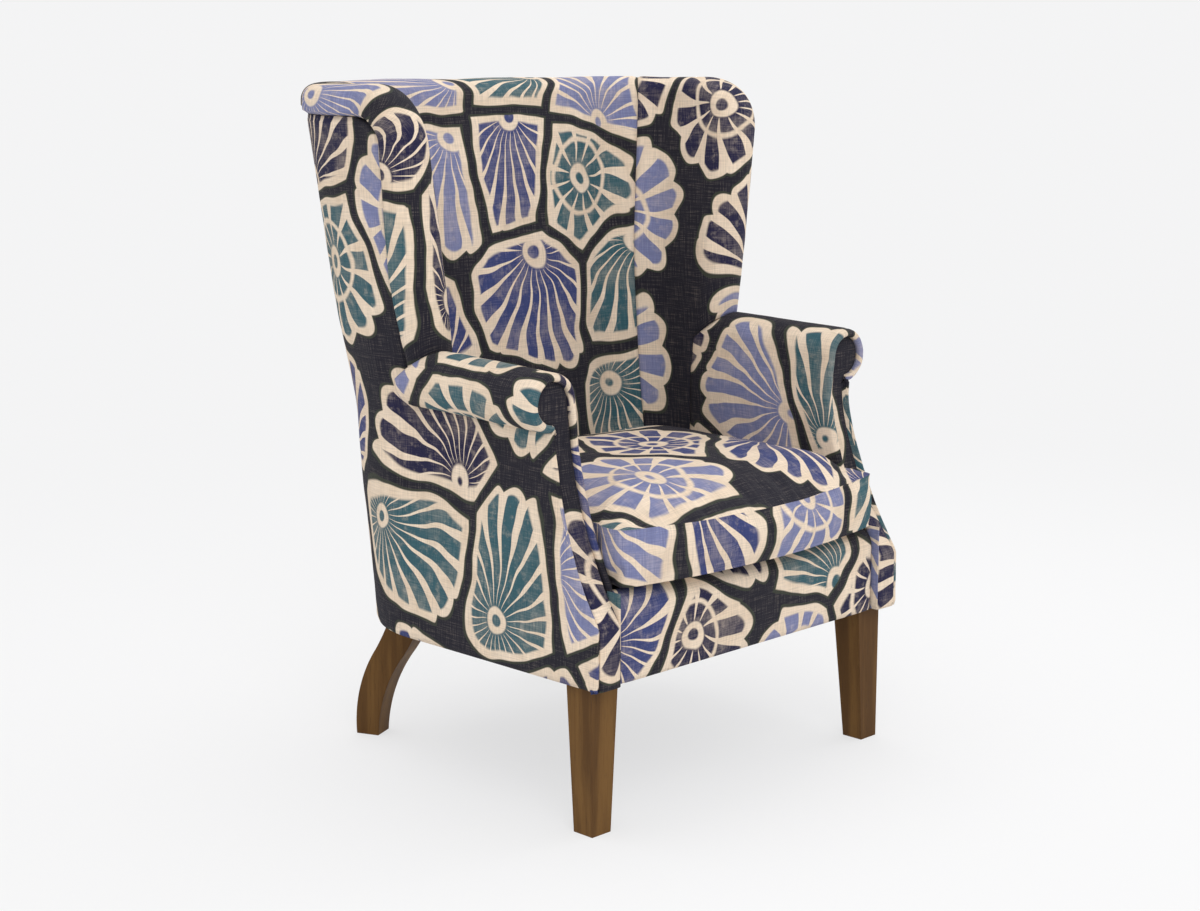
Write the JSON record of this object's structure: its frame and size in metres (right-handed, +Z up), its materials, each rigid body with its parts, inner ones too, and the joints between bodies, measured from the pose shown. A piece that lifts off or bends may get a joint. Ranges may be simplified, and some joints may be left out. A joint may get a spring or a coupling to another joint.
{
  "type": "wing armchair",
  "caption": "Upholstered barrel-back wing armchair with scroll arms, a loose boxed seat cushion, printed linen cover and tapered wooden legs, the rear pair swept back.",
  "frame": {"origin": "on the floor, at the middle of the bounding box seen from above", "axes": "+X to the right of someone looking at the chair from the front, +Y from the front to the back, +Z up"},
  "size_m": [0.772, 0.689, 1.013],
  "materials": {
    "printed_linen": "slubby linen, printed with large leaves in cream, blues and teal on charcoal",
    "walnut": "walnut stain, satin lacquer",
    "frame_timber": "unfinished beech",
    "spring_steel": "oil tempered wire and bent clips",
    "zinc_steel": "zinc plated",
    "elastic_webbing": "woven elastic",
    "deck_cloth": "black platform cloth",
    "cushion_filling": "foam core in feather wrap",
    "zip_tape": "nylon coil zip"
  },
  "bodies": {
    "chair": {"left_front_leg": "walnut", "right_front_leg": "walnut", "left_rear_leg": "walnut", "right_rear_leg": "walnut", "outside_back_panel": "printed_linen", "left_outside_panel": "printed_linen", "right_outside_panel": "printed_linen", "inside_back": "printed_linen", "left_inside_wing": "printed_linen", "right_inside_wing": "printed_linen", "left_inside_arm": "printed_linen", "right_inside_arm": "printed_linen", "left_arm_facing": "printed_linen", "right_arm_facing": "printed_linen", "front_border": "printed_linen", "padded_seat_deck": "deck_cloth", "dust_cover": "deck_cloth", "front_seat_rail": "frame_timber", "left_seat_rail": "frame_timber", "right_seat_rail": "frame_timber", "curved_back_seat_rail": "frame_timber", "left_front_corner_block": "frame_timber", "right_front_corner_block": "frame_timber", "left_rear_corner_block": "frame_timber", "right_rear_corner_block": "frame_timber", "left_arm_post": "frame_timber", "right_arm_post": "frame_timber", "left_arm_board": "frame_timber", "right_arm_board": "frame_timber", "left_arm_tack_rail": "frame_timber", "right_arm_tack_rail": "frame_timber", "left_wing_post": "frame_timber", "right_wing_post": "frame_timber", "left_back_post": "frame_timber", "right_back_post": "frame_timber", "curved_crest_rail": "frame_timber", "back_tack_rail": "frame_timber", "back_webbing": "elastic_webbing", "seat_springs": "spring_steel", "spring_clips": "spring_steel", "leg_bolts": "zinc_steel"},
    "seat_cushion": {"seat_cushion_cover": "printed_linen", "seat_cushion_filling": "cushion_filling", "seat_cushion_zip": "zip_tape"}
  },
  "joints": [
    {"name": "seat_cushion_lift", "type": "slide", "parent": "chair", "child": "seat_cushion", "axis": [0, 0, 1], "range_m": [0, 0.25]}
  ]
}
